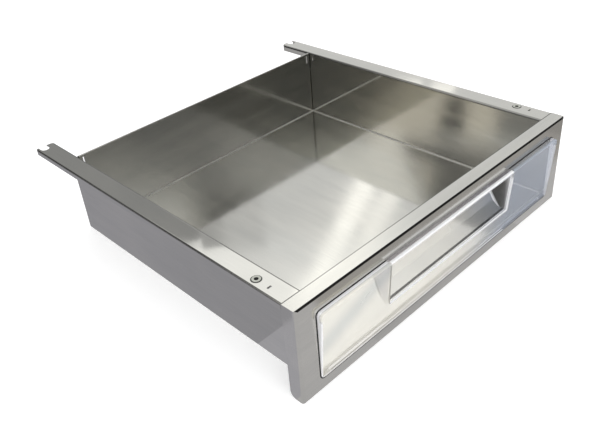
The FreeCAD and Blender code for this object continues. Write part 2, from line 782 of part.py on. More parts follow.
def lower_hook_strip():
    """A strip welded behind the bottom bar, hooked up round the insert's lower flange."""
    body = new_body("lower_hook_strip")
    foot = f"({INSERT_FOOT} - insert_flange - play - sheet)"
    rear = f"({FLANGE_BACK} + play)"
    section = new_sketch(body, "YZ_Plane", "section")
    draw_outline(section, [
        ("sheet", f"{foot} - hook_foot"),
        ("2 * sheet", f"{foot} - hook_foot"),
        ("2 * sheet", foot),
        (f"{rear} + sheet", foot),
        (f"{rear} + sheet", "window_bottom"),
        (rear, "window_bottom"),
        (rear, f"{foot} + sheet"),
        ("sheet", f"{foot} + sheet"),
    ])
    pad(body, section, "folded_sheet", f"2 * ({INSERT_HALF} - insert_flange_end)", both_ways=True)
    return body


def clamp_strip(label, side):
    """A joggled strip that presses the insert's upper flange against the frame."""
    body = new_body(label)
    rear = f"({FLANGE_BACK} + play)"
    joggle = f"({INSERT_TOP} + insert_flange + play)"
    inner = "(pull_width / 2 + insert_wall + clamp_gap)"
    outer = f"({INSERT_HALF} - insert_flange_end)"
    section = new_sketch(body, "YZ_Plane", "section", f"{side} * ({inner} + {outer}) / 2")
    draw_outline(section, [
        (rear, f"{INSERT_TOP} + play"),
        (f"{rear} + sheet", f"{INSERT_TOP} + play"),
        (f"{rear} + sheet", f"{joggle} + sheet"),
        ("2 * sheet", f"{joggle} + sheet"),
        ("2 * sheet", "body_height - 2 * sheet"),
        ("sheet", "body_height - 2 * sheet"),
        ("sheet", joggle),
        (rear, joggle),
    ])
    pad(body, section, "folded_sheet", f"{outer} - {inner}", both_ways=True)
    holes = new_sketch(body, "XZ_Plane", "stud_holes")
    for across in stud_lines(side):
        draw_circle(holes, across, STUD_HEIGHT, "stud_size + 2 * play")
    cut(body, holes, "stud_clearance")
    return body


def stud_lines(side):
    """Where the two studs of one strip stand, across the drawer."""
    inner = "(pull_width / 2 + insert_wall + clamp_gap)"
    outer = f"({INSERT_HALF} - insert_flange_end)"
    return [f"{side} * ({inner} + stud_inset)", f"{side} * ({outer} - stud_inset)"]


def ring_group(label, start, length, diameter, bore=None, sides=None):
    """Alike turned or six-sided pieces on the four studs, as one node."""
    pieces = []
    for side in (-1, 1):
        for across in stud_lines(side):
            pieces.append(stud_piece(f"{label}_{len(pieces) + 1}", across, start, length,
                                     diameter, bore, sides))
    group = doc.addObject("Part::Compound", label)
    group.Label = label
    group.Links = pieces
    doc.recompute()
    return group


def stud_piece(name, across, start, length, diameter, bore, sides):
    """One piece on a stud: a solid bar, or a ring or nut round a bore."""
    if sides:
        outer = doc.addObject("Part::Prism", f"{name}_outer")
        outer.Polygon = sides
        set_size(outer, "Circumradius", f"{diameter} * {FLAT_TO_CORNER}")
        set_size(outer, "Height", length)
    else:
        outer = doc.addObject("Part::Cylinder", f"{name}_outer")
        set_size(outer, "Radius", f"({diameter}) / 2")
        set_size(outer, "Height", length)
    stand(outer, across, start)
    if not bore:
        return outer
    inner = doc.addObject("Part::Cylinder", f"{name}_bore")
    set_size(inner, "Radius", f"({bore}) / 2")
    set_size(inner, "Height", length)
    stand(inner, across, start)
    return boolean("Cut", name, outer, inner)


def stand(piece, across, start):
    """Turn a piece to point rearward at one stud, starting at a distance behind the front."""
    piece.Placement = FreeCAD.Placement(FreeCAD.Vector(), FreeCAD.Rotation(FreeCAD.Vector(1, 0, 0), -90))
    set_size(piece, "Placement.Base.x", across)
    set_size(piece, "Placement.Base.y", start)
    set_size(piece, "Placement.Base.z", STUD_HEIGHT)


def rail_bush(label, side):
    """A moulded bush snapped into the front hole of a rail."""
    body = new_body(label)
    top = "body_height"
    bore = "bush_bore / 2"
    shank = "(bush_hole / 2 - play)"
    section = new_sketch(body, "XZ_Plane", "half_section")
    draw_outline(section, [
        (bore, f"{top} - bush_length"),
        (f"{shank} - bush_clip", f"{top} - bush_length"),
        (f"{shank} + bush_clip", f"{top} - sheet - play - bush_clip"),
        (f"{shank} + bush_clip", f"{top} - sheet - play"),
        (shank, f"{top} - sheet - play"),
        (shank, top),
        ("bush_rim / 2", top),
        ("bush_rim / 2 - bush_rim_slope", f"{top} + bush_rim_height"),
        (f"{bore} + bush_rim_height / 2", f"{top} + bush_rim_height"),
        (bore, f"{top} + bush_rim_height / 2"),
    ])
    turned = body.newObject("PartDesign::Revolution", "turned")
    turned.Profile = section
    turned.ReferenceAxis = (section, ["V_Axis"])
    turned.Angle = 360
    doc.recompute()
    set_size(body, "Placement.Base.x", f"{side} * {PIN_LINE}")
    set_size(body, "Placement.Base.y", "pin_setback + (insert_proud_top - rail_length) / 2")
    return body


# ---------------------------------------------------------------- assembly


def build():
    """Make every piece and return those that stand for themselves."""
    pieces = [fascia_frame(), back_panel(), floor_panel(), window_gasket(), window_insert(),
              lower_hook_strip(),
              floor_stiffener("front_floor_stiffener", "front_rib"),
              floor_stiffener("rear_floor_stiffener", "rear_rib")]
    for side, word in ((-1, "left"), (1, "right")):
        pieces.append(side_panel(f"{word}_side_panel", side))
        pieces.append(clamp_strip(f"{word}_clamp_strip", side))
    nut_start = "(2 * sheet + washer_height)"
    pieces.append(ring_group("clamp_studs", "sheet", "stud_length", "stud_size"))
    pieces.append(ring_group("clamp_washers", "2 * sheet", "washer_height", "washer_size",
                             bore="stud_size"))
    pieces.append(ring_group("clamp_nuts", nut_start, "nut_height", "nut_size",
                             bore="stud_size", sides=6))
    for piece in pieces:
        place(piece)
    bushes = [rail_bush("left_rail_bush", -1), rail_bush("right_rail_bush", 1)]
    doc.recompute()
    return pieces + bushes


def check(pieces):
    """Stop if any object of the document failed or any piece is not a sound solid."""
    for thing in doc.Objects:
        if {"Invalid", "Error"} & set(thing.State):
            raise RuntimeError(f"{thing.Label} failed: {thing.State}")
    for piece in pieces:
        shape = piece.Shape
        if shape.isNull() or not shape.isValid() or not shape.Solids:
            raise RuntimeError(f"{piece.Label} is not a sound solid")


def export(pieces):
    """Write each piece to its own file."""
    os.makedirs("parts", exist_ok=True)
    for piece in pieces:
        piece.Shape.exportStep(os.path.join("parts", f"{piece.Label}.step"))


fill_sheet()
drawer = build()
check(drawer)
export(drawer)
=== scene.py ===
"""Looks of the lift-out sheet-metal drawer: brushed steel, a clear moulded insert, a studio."""

import math
from types import SimpleNamespace

import bpy
from mathutils import Matrix, Vector


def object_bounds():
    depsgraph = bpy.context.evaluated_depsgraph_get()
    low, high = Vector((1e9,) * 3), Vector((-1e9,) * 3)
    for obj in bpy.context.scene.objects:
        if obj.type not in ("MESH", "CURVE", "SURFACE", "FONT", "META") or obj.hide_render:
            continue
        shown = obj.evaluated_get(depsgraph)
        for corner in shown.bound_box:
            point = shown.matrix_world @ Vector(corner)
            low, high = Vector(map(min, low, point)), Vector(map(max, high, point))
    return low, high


# Camera: where it stands, the axes of its view and its lens, found for a 600 x 444 picture.
PICTURE_WIDTH = 600
PICTURE_HEIGHT = 444
SENSOR_WIDTH = 36.0
FOCAL_PIXELS = 700.0
PRINCIPAL_POINT = (284.6, 203.0)
CAMERA_PLACE = (-0.5663, -0.6187, 0.5605)
VIEW_RIGHT = (0.7169, -0.6920, -0.0846)
VIEW_DOWN = (-0.4300, -0.3435, -0.8350)
NEAREST_SEEN = 0.01

# Drawer, in metres: the inside of its side walls and the rear edge of the frame's top flange.
WALL_INSIDE = 0.2225
FLANGE_REAR = -0.232

# Insert, in metres: the Y of its front face at the drawer's underside and how Y changes for each
# metre up. Half the width of the finger pull, the crease at the foot of its slanting back, and
# the direction square to that back.
FRONT_FOOT = -0.2515
FRONT_SLOPE = -0.068
PULL_HALF = 0.116
PULL_CREASE = SimpleNamespace(y=-0.237, z=0.059)
PULL_BACK_NORMAL = SimpleNamespace(y=0.886, z=-0.463)

# Noise is in grains a metre. Every soft step is a pair: the values where it starts and ends.
NOISE_STEP = (0.3, 0.7)
NOISE_ROUGHNESS = 0.55

# Steel: grains across the brush marks and along them, and how much they change.
BRUSH_GRAINS = (1400.0, 30.0)
BAND_GRAINS = (45.0, 5.0)
CLOUD_GRAINS = (7.0, 7.0, 7.0)
BAND_SHARE = 0.4
CLOUD_SHARE = 0.6
TONE_STEP = (0.32, 0.68)
BRUSH_DARKENING = 0.06
BAND_ROUGHNESS = 0.015
BRUSH_ROUGHNESS = 0.01
SLANT_STEP = (0.03, 0.14)
LEVEL_STEP = (0.90, 0.97)
# Painted shadow line along the rear of the frame's top flange.
FLANGE_SHADOW_LINE = (FLANGE_REAR - 0.0012, FLANGE_REAR - 0.0006)
FLANGE_SHADOW_DARKNESS = 0.75
# Painted shadow in the corner gaps between the back wall and the side walls.
CORNER_SHADOW_LINE = (WALL_INSIDE - 0.0016, WALL_INSIDE - 0.0010)
CORNER_SHADOW_DARKNESS = 0.85

# Insert: steps of a face's normal.
BROAD_FACE = (0.80, 0.97)
SIDE_FACE = (0.6, 0.8)
UPPER_FACE = (0.6, 0.9)
HEEL_FACE = (0.1, 0.4)

# Insert: steps of the distance from its middle, to either side.
PULL_SIDES = (PULL_HALF, PULL_HALF + 0.004)
CHEEK_SIDES = (PULL_HALF + 0.0055, PULL_HALF + 0.0075)

# Insert: steps of X and of Z.
MIDDLE = (-0.02, 0.02)
COOL_SIDE = (0.0, 0.13)
FADING_SIDE = (-0.20, 0.10)
TOP_HEIGHT = (0.094, 0.099)
HEEL_HEIGHT = (0.070, 0.080)

# Insert: steps of the depth behind its front face, and of the distance behind the pull's back.
FRONT_RIM_DEPTH = (0.003, 0.005)
HEEL_LINE_START = (0.0042, 0.0052)
HEEL_LINE_END = (0.0065, 0.0075)
CHEEK_FRONT_DEPTH = (0.0028, 0.0040)
PALE_CREST_DEPTH = (0.0030, 0.0045)
GREY_CREST_DEPTH = (0.0035, 0.0050)
PULL_BACK_DISTANCE = (-0.0019, -0.0007)

# Insert: the painted reflection streak's places are measured along this direction, and waver with
# the haze.
STREAK_DIRECTION = SimpleNamespace(x=-0.357, z=0.934)
STREAK_WAVER = 0.01
STREAK_START = (0.118, 0.142)
STREAK_END = (0.144, 0.166)
STREAK_SHARE = 0.6
HAZE_GRAINS = (9.0, 9.0, 14.0)
HAZE_STEP = (0.35, 0.65)
HAZE_SHARE = 0.18
FADING_SHARE = 0.75

# Insert: how much of each part is plastic. The rest is clear.
TURNED_SOLID = 0.16
BROAD_SOLID = 0.36
RIM_HIGHLIGHT_SOLID = 0.90
SHADE_LINE_SOLID = 0.75
OUTLINE_SOLID = 0.94
CREST_SOLID = 0.55
CHEEK_SOLID = 0.42

# Seal, bushes and fasteners.
DUST_GRAINS = (120.0, 120.0, 120.0)
DUST_STEP = (0.3, 0.8)
WORN_STEP = (0.2, 0.8)
MOTTLE_GRAINS = (300.0, 300.0, 300.0)
BUSH_TOP_STEP = (0.90, 0.98)
SPOT_GRAINS = (500.0, 500.0, 500.0)

# Studio: its light, its paper floor, and the places that its lamps and cards surround.
WORLD_LIGHT = 0.95
FLOOR_LIFT = 0.44
FLOOR_SIZE = 14.0
FLOOR_GAP = 0.0002
PAPER_GRAINS = (40.0, 40.0, 40.0)
DRAWER_MIDDLE = (0.0, 0.0, 0.06)
TRAY_MIDDLE = (0.10, 0.05, 0.04)

# Cards: their uneven surface, how far below the drawer the ones on the ground lie, the distances
# of the others, where a nearer card hides those behind it, and the tints of cards and lamps.
FIBRE_GRAINS = (3.0, 3.0, 3.0)
FIBRE_SHARE = 0.04
GROUND_CARD_GAP = 0.0001
FAR = 12.0
NEARER = 11.8
NEAREST = 11.0
WHITE = (1.0, 1.0, 1.0)
TAN = (1.0, 0.945, 0.85)
COOL = (0.98, 0.97, 1.06)
FAINT = (1.0, 0.985, 1.01)
BROWN = (1.0, 0.96, 0.93)
WARM = (1.0, 0.99, 0.96)
LAMP_WARM = (1.0, 0.99, 0.95)


def srgb(red, green, blue):
    """A colour given as 0-255 values, in the linear values that shaders take."""
    def linear(value):
        share = value / 255
        return share / 12.92 if share <= 0.04045 else ((share + 0.055) / 1.055) ** 2.4
    return (linear(red), linear(green), linear(blue), 1.0)


STEEL_LIGHT = srgb(217, 216, 210)
STEEL_DARK = srgb(208, 208, 203)
STEEL_BRUSHED = srgb(120, 118, 112)
# Colour of the painted shade on the steel's folds and of its painted shadow lines.
STEEL_SHADED = srgb(34, 32, 32)
# Painted light: the clear plastic is warm at the left and cool at the right.
PLASTIC_WARM = srgb(255, 251, 238)
PLASTIC_COOL = srgb(184, 192, 206)
PLASTIC_HAZE = srgb(186, 190, 190)
# Painted reflection streak on the left pane.
PLASTIC_REFLECTION_STREAK = srgb(190, 196, 196)
# Painted highlight on the insert's rims.
PLASTIC_RIM_HIGHLIGHT = srgb(253, 253, 255)
# Painted shade line low in the pull.
PLASTIC_SHADE_LINE = srgb(36, 36, 40)
PLASTIC_CLEAR = srgb(250, 250, 251)
# Painted shade on the crest over the pull.
CREST_SHADE = srgb(142, 138, 142)
# Painted light on the left cheek and painted shade on the right one.
CHEEK_LIT = srgb(186, 186, 202)
CHEEK_SHADED = srgb(84, 84, 84)
# Painted shade on the left cheek's outlines and painted highlight on the right one's.
OUTLINE_SHADED = srgb(14, 14, 28)
OUTLINE_LIT = srgb(240, 242, 244)
RUBBER_BLACK = srgb(22, 22, 24)
RUBBER_DUSTY = srgb(44, 44, 46)
NYLON_SIDE_SHADE = srgb(58, 58, 56)
NYLON_GREY = srgb(176, 178, 168)
NYLON_PALE = srgb(192, 194, 184)
ZINC_DULL = srgb(176, 178, 180)
ZINC_BRIGHT = srgb(200, 202, 204)
PAPER_HOLLOW = (0.80, 0.80, 0.81, 1.0)
PAPER_TOOTH = (0.82, 0.82, 0.82, 1.0)


# ---------------------------------------------------------------- shader helpers

class Nodes:
    """A node tree with short ways to add nodes to it."""

    def __init__(self, tree):
        self.tree = tree

    def add(self, kind, **settings):
        """A new node of a kind, with its settings."""
        node = self.tree.nodes.new(kind)
        for key, value in settings.items():
            setattr(node, key, value)
        return node

    def link(self, source, target):
        self.tree.links.new(source, target)

    def feed(self, socket, value):
        """Gives an input socket a constant or another node's output."""
        if isinstance(value, bpy.types.NodeSocket):
            self.link(value, socket)
        else:
            socket.default_value = value

    def calculate(self, operation, first, *others):
        """The operation on two values, then on its result and the next value, and so on."""
        result = first
        for other in others:
            node = self.add("ShaderNodeMath", operation=operation)
            self.feed(node.inputs[0], result)
            self.feed(node.inputs[1], other)
            result = node.outputs[0]
        return result

    def plus(self, *values):
        return self.calculate("ADD", *values)

    def minus(self, first, second):
        return self.calculate("SUBTRACT", first, second)

    def times(self, *values):
        return self.calculate("MULTIPLY", *values)

    def largest(self, *values):
        return self.calculate("MAXIMUM", *values)

    def smallest(self, *values):
        return self.calculate("MINIMUM", *values)

    def without_sign(self, value):
        return self.calculate("ABSOLUTE", value, 0.0)

    def seen_by(self, *rays):
        """1 for the kinds of ray that are named, and 0 for the others."""
        path = self.add("ShaderNodeLightPath")
        return self.largest(*(path.outputs[f"Is {ray} Ray"] for ray in rays))


class Recipe(Nodes):
    """A material with its main shader, its places and normals, and short ways to add nodes."""

    def __init__(self, name):
        self.material = bpy.data.materials.new(name)
        self.material.use_nodes = True
        super().__init__(self.material.node_tree)
        self.shader = self.tree.nodes["Principled BSDF"]
        self.output = self.tree.nodes["Material Output"]
        coordinates = self.add("ShaderNodeTexCoord")
        self.point = coordinates.outputs["Object"]
        self.place = self.parts(self.point)
        self.normal = self.parts(coordinates.outputs["Normal"])

    def parts(self, vector):
        """The X, Y and Z of a vector."""
        node = self.add("ShaderNodeSeparateXYZ")
        self.link(vector, node.inputs[0])
        return node.outputs

    def noise(self, grains, detail=2.0):
        """Noise with so many grains a metre along each axis."""
        scaled = self.add("ShaderNodeVectorMath", operation="MULTIPLY")
        self.link(self.point, scaled.inputs[0])
        scaled.inputs[1].default_value = grains
        node = self.add("ShaderNodeTexNoise")
        self.link(scaled.outputs[0], node.inputs["Vector"])
        node.inputs["Scale"].default_value = 1.0
        node.inputs["Detail"].default_value = detail
        node.inputs["Roughness"].default_value = NOISE_ROUGHNESS
        return node.outputs["Fac"]

    def rise(self, value, step, bottom=0.0, top=1.0):
        """From bottom to top, smoothly, as value goes through the step."""
        node = self.add("ShaderNodeMapRange", interpolation_type="SMOOTHSTEP")
        self.feed(node.inputs["Value"], value)
        node.inputs["From Min"].default_value = step[0]
        node.inputs["From Max"].default_value = step[1]
        node.inputs["To Min"].default_value = bottom
        node.inputs["To Max"].default_value = top
        return node.outputs["Result"]

    def fall(self, value, step):
        """From 1 to 0, smoothly, as value goes through the step."""
        return self.rise(value, step, bottom=1.0, top=0.0)

    def mix(self, factor, first, second):
        """The first colour where factor is 0, and the second where it is 1."""
        node = self.add("ShaderNodeMix", data_type="RGBA")
        self.feed(node.inputs["Factor"], factor)
        self.feed(node.inputs[6], first)
        self.feed(node.inputs[7], second)
        return node.outputs[2]

    def bump(self, height, distance, strength):
        """Relief on the main shader."""
        node = self.add("ShaderNodeBump")
        node.inputs["Strength"].default_value = strength
        node.inputs["Distance"].default_value = distance
        self.link(height, node.inputs["Height"])
        self.link(node.outputs["Normal"], self.shader.inputs["Normal"])

    def set(self, **values):
        """Values or sockets for the main shader's inputs, named with _ for a space."""
        for key, value in values.items():
            self.feed(self.shader.inputs[key.replace("_", " ")], value)


# ---------------------------------------------------------------- steel

def brush_scale(along, grains):
    """Noise grains of marks that run along one axis."""
    fine, long = grains
    return tuple(long if letter == along else fine for letter in "XYZ")


def flange_shadow_line(steel):
    """Painted shadow: a dark line on the frame's top flange along its rear edge."""
    line = steel.rise(steel.place["Y"], FLANGE_SHADOW_LINE, bottom=0.0, top=FLANGE_SHADOW_DARKNESS)
    return steel.times(line, steel.rise(steel.normal["Z"], LEVEL_STEP))


def corner_gap_shadows(steel):
    """Painted shadow in the gaps between the back wall and the side walls."""
    reach = steel.without_sign(steel.place["X"])
    return steel.rise(reach, CORNER_SHADOW_LINE, bottom=0.0, top=CORNER_SHADOW_DARKNESS)


def brushed_steel(name, along, roughness, fold_shade=0.0, bead=0.0, painted_shadow_line=None):
    """Satin stainless with faint brush marks along one axis and slow cloudy tones.

    Slanted faces are folds or the weld seam: painted shade darkens them by the given share, and bead
    is their least roughness.
    """
    steel = Recipe(name)
    marks = steel.noise(brush_scale(along, BRUSH_GRAINS))
    bands = steel.noise(brush_scale(along, BAND_GRAINS))
    clouds = steel.noise(CLOUD_GRAINS)
    tone = steel.plus(steel.times(bands, BAND_SHARE), steel.times(clouds, CLOUD_SHARE))
    colour = steel.mix(steel.rise(tone, TONE_STEP), STEEL_DARK, STEEL_LIGHT)
    darkening = steel.rise(marks, NOISE_STEP, bottom=0.0, top=BRUSH_DARKENING)
    colour = steel.mix(darkening, colour, STEEL_BRUSHED)
    rough = steel.plus(
        steel.rise(bands, NOISE_STEP, -BAND_ROUGHNESS, BAND_ROUGHNESS),
        steel.rise(marks, NOISE_STEP, roughness - BRUSH_ROUGHNESS, roughness + BRUSH_ROUGHNESS))
    across = steel.largest(steel.without_sign(steel.normal["X"]),
                           steel.without_sign(steel.normal["Y"]))
    slanted = steel.rise(steel.smallest(across, steel.normal["Z"]), SLANT_STEP)
    rough = steel.largest(rough, steel.times(slanted, bead))
    # Painted shade on the folds and the weld seam.
    shaded = steel.times(slanted, fold_shade)
    # Painted shadow lines, where a function for them is given.
    if painted_shadow_line is not None:
        shaded = steel.largest(shaded, painted_shadow_line(steel))
    steel.set(Metallic=1.0, Base_Color=steel.mix(shaded, colour, STEEL_SHADED), Roughness=rough)
    steel.bump(marks, distance=0.000001, strength=0.5)
    return steel.material


# ---------------------------------------------------------------- clear insert

def insert_regions(clear):
    """Masks, from 0 to 1, of where a point of the insert lies, with its depth and a slow haze."""
    front = clear.plus(clear.times(clear.place["Z"], FRONT_SLOPE), FRONT_FOOT)
    width = clear.without_sign(clear.place["X"])
    facing = clear.without_sign(clear.normal["Y"])
    in_pull = clear.fall(width, PULL_SIDES)
    sideways = clear.rise(clear.without_sign(clear.normal["X"]), SIDE_FACE)
    return SimpleNamespace(
        depth=clear.minus(clear.place["Y"], front),
        in_pull=in_pull,
        outside=clear.minus(1.0, in_pull),
        cheek=clear.times(clear.fall(width, CHEEK_SIDES), sideways),
        left=clear.fall(clear.place["X"], MIDDLE),
        top=clear.rise(clear.place["Z"], TOP_HEIGHT),
        turned=clear.fall(facing, BROAD_FACE),
        solidity=clear.rise(facing, BROAD_FACE, bottom=TURNED_SOLID, top=BROAD_SOLID),
        haze=clear.noise(HAZE_GRAINS))


def insert_crests(clear, at):
    """The plain top edges: a pale one in front, beside the pull, and a grey one of painted shade
    behind, over it.
    """
    crest = clear.times(at.turned, at.top)
    pale = clear.times(crest, clear.fall(at.depth, PALE_CREST_DEPTH), at.outside)
    grey = clear.times(crest, clear.rise(at.depth, GREY_CREST_DEPTH), at.in_pull)
    return pale, grey


def insert_rim_highlight(clear, at, crests):
    """Painted highlight on the edges, less the right upward ones, the left cheek and the crests."""
    near_front = clear.fall(at.depth, FRONT_RIM_DEPTH)
    rim = clear.times(at.turned, clear.largest(near_front, at.outside, at.top))
    upward = clear.rise(clear.normal["Z"], UPPER_FACE)
    rightward = clear.rise(clear.place["X"], FADING_SIDE)
    fading = clear.times(upward, rightward, at.outside, FADING_SHARE)
    for plain in (fading, clear.times(at.cheek, at.left), crests):
        rim = clear.times(rim, clear.minus(1.0, plain))
    return rim


def insert_shade_line(clear, at):
    """Painted shade: a dark line low in the pull, on its upward faces just behind the front."""
    start = clear.rise(at.depth, HEEL_LINE_START)
    end = clear.fall(at.depth, HEEL_LINE_END)
    upward = clear.rise(clear.normal["Z"], HEEL_FACE)
    low = clear.fall(clear.place["Z"], HEEL_HEIGHT)
    return clear.times(start, end, at.in_pull, upward, low)


def insert_outline(clear, at):
    """The edges of the pull's cheeks: the slanting rear one and, at the left, the front one."""
    behind = clear.times(clear.minus(clear.place["Y"], PULL_CREASE.y), PULL_BACK_NORMAL.y)
    below = clear.times(clear.minus(clear.place["Z"], PULL_CREASE.z), PULL_BACK_NORMAL.z)
    rear = clear.rise(clear.plus(behind, below), PULL_BACK_DISTANCE)
    front = clear.times(clear.fall(at.depth, CHEEK_FRONT_DEPTH), at.left)
    return clear.times(at.cheek, clear.largest(rear, front))


def insert_reflection_streak(clear, at):
    """A painted reflection: one soft streak that slants across the left pane."""
    upward = clear.times(clear.place["Z"], STREAK_DIRECTION.z)
    sideways = clear.times(clear.place["X"], STREAK_DIRECTION.x)
    along_streak = clear.plus(upward, sideways, clear.times(at.haze, STREAK_WAVER))
    start = clear.rise(along_streak, STREAK_START)
    end = clear.fall(along_streak, STREAK_END)
    return clear.times(start, end, at.outside, clear.times(at.left, STREAK_SHARE))


def insert_body(clear, at, grey_crest):
    """Painted light and shade: warm left, cool right, a reflection streak, a grey crest, lit and
    shaded cheeks; its own haze.
    """
    cool = clear.rise(clear.place["X"], COOL_SIDE)
    body = clear.mix(cool, PLASTIC_WARM, PLASTIC_COOL)
    hazy = clear.rise(at.haze, HAZE_STEP, bottom=0.0, top=HAZE_SHARE)
    body = clear.mix(hazy, body, PLASTIC_HAZE)
    body = clear.mix(insert_reflection_streak(clear, at), body, PLASTIC_REFLECTION_STREAK)
    # Painted shade on the crest over the pull.
    body = clear.mix(grey_crest, body, CREST_SHADE)
    # Painted light on the left cheek and painted shade on the right one.
    return clear.mix(at.cheek, body, clear.mix(at.left, CHEEK_SHADED, CHEEK_LIT))


def let_through(clear, solid):
    """Shows what lies behind where the plastic isn't solid, and stops no shadow or diffuse ray."""
    through = clear.add("ShaderNodeBsdfTransparent")
    through.inputs["Color"].default_value = PLASTIC_CLEAR
    blend = clear.add("ShaderNodeMixShader")
    lit = clear.minus(1.0, clear.seen_by("Shadow", "Diffuse"))
    clear.link(clear.times(solid, lit), blend.inputs[0])
    clear.link(through.outputs[0], blend.inputs[1])
    clear.link(clear.shader.outputs[0], blend.inputs[2])
    clear.link(blend.outputs[0], clear.output.inputs["Surface"])


def clear_plastic():
    """Water-clear moulding: its broad faces let the tray show, and its edges carry a painted
    highlight.
    """
    clear = Recipe("clear_moulding")
    at = insert_regions(clear)
    pale_crest, grey_crest = insert_crests(clear, at)
    crests = clear.plus(pale_crest, grey_crest)
    rim = insert_rim_highlight(clear, at, crests)
    line = insert_shade_line(clear, at)
    outline = insert_outline(clear, at)
    # Painted highlight on the rims.
    colour = clear.mix(rim, insert_body(clear, at, grey_crest), PLASTIC_RIM_HIGHLIGHT)
    # Painted shade on the left cheek's outlines and painted highlight on the right one's.
    colour = clear.mix(outline, colour, clear.mix(at.left, OUTLINE_LIT, OUTLINE_SHADED))
    # Painted shade line low in the pull.
    clear.set(Base_Color=clear.mix(line, colour, PLASTIC_SHADE_LINE),
              Roughness=clear.rise(at.haze, NOISE_STEP, bottom=0.03, top=0.06), IOR=1.49)
    let_through(clear, clear.largest(
        at.solidity, clear.times(rim, RIM_HIGHLIGHT_SOLID), clear.times(line, SHADE_LINE_SOLID),
        clear.times(outline, OUTLINE_SOLID), clear.times(crests, CREST_SOLID),
        clear.times(at.cheek, CHEEK_SOLID)))
    return clear.material


# ---------------------------------------------------------------- small parts

def seal_rubber():
    """Matt black seal with a faint dusty bloom."""
    rubber = Recipe("seal_rubber_black")
    bloom = rubber.noise(DUST_GRAINS, detail=4.0)
    rubber.set(Base_Color=rubber.mix(rubber.rise(bloom, DUST_STEP), RUBBER_BLACK, RUBBER_DUSTY),
               Roughness=rubber.rise(bloom, WORN_STEP, bottom=0.5, top=0.7))
    rubber.bump(bloom, distance=0.0001, strength=0.4)
    return rubber.material


def bush_plastic():
    """Moulded nylon bush: a pale flat face, with painted shade on the faces round it."""
    nylon = Recipe("bush_nylon")
    mottle = nylon.noise(MOTTLE_GRAINS, detail=3.0)
    level = nylon.rise(nylon.normal["Z"], BUSH_TOP_STEP)
    face = nylon.mix(nylon.rise(mottle, NOISE_STEP), NYLON_GREY, NYLON_PALE)
    # Painted shade on all but the upward face.
    nylon.set(Base_Color=nylon.mix(level, NYLON_SIDE_SHADE, face),
              Roughness=nylon.rise(mottle, NOISE_STEP, bottom=0.35, top=0.5))
    nylon.bump(mottle, distance=0.00005, strength=0.3)
    return nylon.material


def plated_fastener():
    """Bright zinc plate on the studs, washers and nuts."""
    zinc = Recipe("fastener_zinc")
    spots = zinc.noise(SPOT_GRAINS, detail=3.0)
    zinc.set(Metallic=1.0, Roughness=zinc.rise(spots, NOISE_STEP, bottom=0.25, top=0.4),
             Base_Color=zinc.mix(zinc.rise(spots, NOISE_STEP), ZINC_DULL, ZINC_BRIGHT))
    zinc.bump(spots, distance=0.00005, strength=0.3)
    return zinc.material


def finish_nodes():
    """Every CAD piece gets its finish."""
    floor = brushed_steel("floor_brushed_steel", "Y", roughness=0.105, bead=0.55)
    back = brushed_steel("back_brushed_steel", "X", roughness=0.14, painted_shadow_line=corner_gap_shadows)
    # Painted shade on the folds of the side panels and of the frame.
    side = brushed_steel("side_brushed_steel", "Y", roughness=0.065, fold_shade=0.55)
    fascia = brushed_steel("fascia_brushed_steel", "X", roughness=0.16, fold_shade=0.92,
                           painted_shadow_line=flange_shadow_line)
    insert = clear_plastic()
    seal = seal_rubber()
    nylon = bush_plastic()
    zinc = plated_fastener()
    finishes = {
        "floor_panel": floor,
        "back_panel": back,
        "front_floor_stiffener": back,
        "rear_floor_stiffener": back,
        "lower_hook_strip": back,
        "left_clamp_strip": back,
        "right_clamp_strip": back,
        "left_side_panel": side,
        "right_side_panel": side,
        "fascia_frame": fascia,
        "window_insert": insert,
        "window_gasket": seal,
        "left_rail_bush": nylon,
        "right_rail_bush": nylon,
        "clamp_studs": zinc,
        "clamp_washers": zinc,
        "clamp_nuts": zinc,
    }
    for name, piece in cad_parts.items():
        piece.data.materials.clear()
        piece.data.materials.append(finishes[name])


# ---------------------------------------------------------------- studio

def direction(azimuth, elevation):
    """A step of one metre at an azimuth from +Y towards +X and an elevation, in degrees."""
    turn = math.radians(azimuth)
    climb = math.radians(elevation)
    level = math.cos(climb)
    return Vector((math.sin(turn) * level, math.cos(turn) * level, math.sin(climb)))


def aimed(place, target):
    """World matrix of something at place whose -Z looks at target."""
    turn = (target - place).to_track_quat("-Z", "Y")
    return Matrix.Translation(place) @ turn.to_matrix().to_4x4()


def face_mesh(name, corners):
    """A mesh of one flat face."""
    mesh = bpy.data.meshes.new(name)
    mesh.from_pydata(corners, [], [tuple(range(len(corners)))])
    return mesh


def level_corners(low_x, low_y, high_x, high_y, height):
    """The corners of a level rectangle."""
    return [(low_x, low_y, height), (high_x, low_y, height),
            (high_x, high_y, height), (low_x, high_y, height)]


def make_floor():
    """Pale floor at the drawer's underside that keeps its soft shadow."""
    paper = Recipe("paper_floor")
    paper.tree.nodes.remove(paper.shader)
    matt = paper.add("ShaderNodeBsdfDiffuse")
    tooth = paper.noise(PAPER_GRAINS)
    paper.link(paper.mix(tooth, PAPER_HOLLOW, PAPER_TOOTH), matt.inputs["Color"])
    lift = paper.add("ShaderNodeEmission")
    seen = paper.seen_by("Camera", "Glossy", "Transmission")
    paper.link(paper.times(seen, FLOOR_LIFT), lift.inputs["Strength"])
    both = paper.add("ShaderNodeAddShader")
    paper.link(matt.outputs[0], both.inputs[0])
    paper.link(lift.outputs[0], both.inputs[1])
    paper.link(both.outputs[0], paper.output.inputs["Surface"])
    half = FLOOR_SIZE / 2
    mesh = face_mesh("floor", level_corners(-half, -half, half, half, height=0))
    mesh.materials.append(paper.material)
    floor = bpy.data.objects.new("floor", mesh)
    floor.location = (0, 0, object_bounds()[0].z - FLOOR_GAP)
    bpy.context.scene.collection.objects.link(floor)


